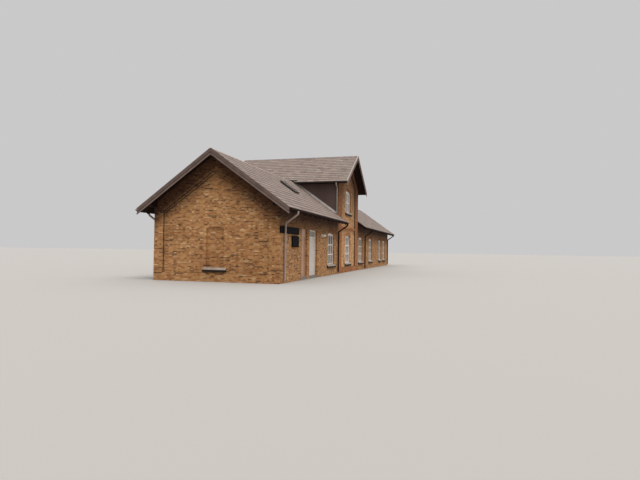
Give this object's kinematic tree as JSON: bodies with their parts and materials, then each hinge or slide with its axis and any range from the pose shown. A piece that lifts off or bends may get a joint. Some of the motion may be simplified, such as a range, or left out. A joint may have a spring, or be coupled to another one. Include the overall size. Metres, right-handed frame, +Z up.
{
  "type": "railway station building",
  "caption": "Brick station building: a two-storey cross-gabled block between two one-storey wings with slate roofs.",
  "frame": {"origin": "on the ground, under the middle of the building's outer box", "axes": "+X along the platform, away from the near gable; the platform front faces -Y; +Z up"},
  "size_m": [36.35, 9.3402, 8.6778],
  "materials": {
    "brick": "matte",
    "slate": "matte",
    "brown_wood": "satin",
    "dark_wood": "satin",
    "ridge_tile": "matte",
    "floor_screed": "matte",
    "floor_boards": "matte",
    "step_stone": "matte",
    "brown_gutter": "satin",
    "zinc": "satin",
    "white_wood": "satin",
    "window_glass": "gloss",
    "sill_brick": "matte",
    "dark_board": "satin",
    "white_door": "satin",
    "beige_paint": "satin",
    "dark_metal": "satin",
    "lamp_grey": "satin"
  },
  "bodies": {
    "building": {"block_bargeboards": "brown_wood", "block_downpipes": "zinc", "block_far_wall": "brick", "block_front_wall": "brick", "block_gutters": "zinc", "block_near_wall": "brick", "block_rear_wall": "brick", "block_ridge_tiles": "ridge_tile", "block_roof_far": "slate", "block_roof_near": "slate", "block_side_cladding": "dark_wood", "block_window_frames": "white_wood", "block_window_glass": "window_glass", "door_thresholds": "step_stone", "far_front_wall": "brick", "far_gable_wall": "brick", "far_rear_wall": "brick", "far_roof_front": "slate", "far_roof_rear": "slate", "far_window_frames": "white_wood", "far_window_glass": "window_glass", "ground_floor": "floor_screed", "main_door_frame": "white_wood", "main_door_overlight": "window_glass", "near_front_door_head": "brick", "near_front_pier": "brick", "near_front_wall_inner": "brick", "near_front_wall_outer": "brick", "near_gable_wall": "brick", "near_rear_wall": "brick", "near_roof_front": "slate", "near_roof_rear": "slate", "near_window_frames": "white_wood", "near_window_glass": "window_glass", "rafter_tails": "dark_wood", "roof_hatch": "dark_metal", "side_door_frame": "beige_paint", "string_courses": "brick", "upper_floor": "floor_boards", "wall_boards": "dark_board", "wall_lamp": "lamp_grey", "window_sills": "sill_brick", "wing_bargeboards": "brown_wood", "wing_downpipes": "brown_gutter", "wing_gutters": "brown_gutter", "wing_purlin_ends": "dark_wood", "wing_ridge_tiles": "ridge_tile"},
    "main_door_left": {"main_door_left_leaf": "white_door"},
    "main_door_right": {"main_door_right_leaf": "white_door"},
    "side_door": {"side_door_leaf": "beige_paint"}
  },
  "joints": [
    {"name": "main_left_hinge", "type": "hinge", "parent": "building", "child": "main_door_left", "pos_m": [-12.799, -3.6999, 1.2], "axis": [0, 0, 1], "range_deg": [0, 90]},
    {"name": "main_right_hinge", "type": "hinge", "parent": "building", "child": "main_door_right", "pos_m": [-11.431, -3.6999, 1.2], "axis": [0, 0, -1], "range_deg": [0, 90]},
    {"name": "side_hinge", "type": "hinge", "parent": "building", "child": "side_door", "pos_m": [-14.184, -3.6999, 1.2], "axis": [0, 0, 1], "range_deg": [0, 90]}
  ]
}
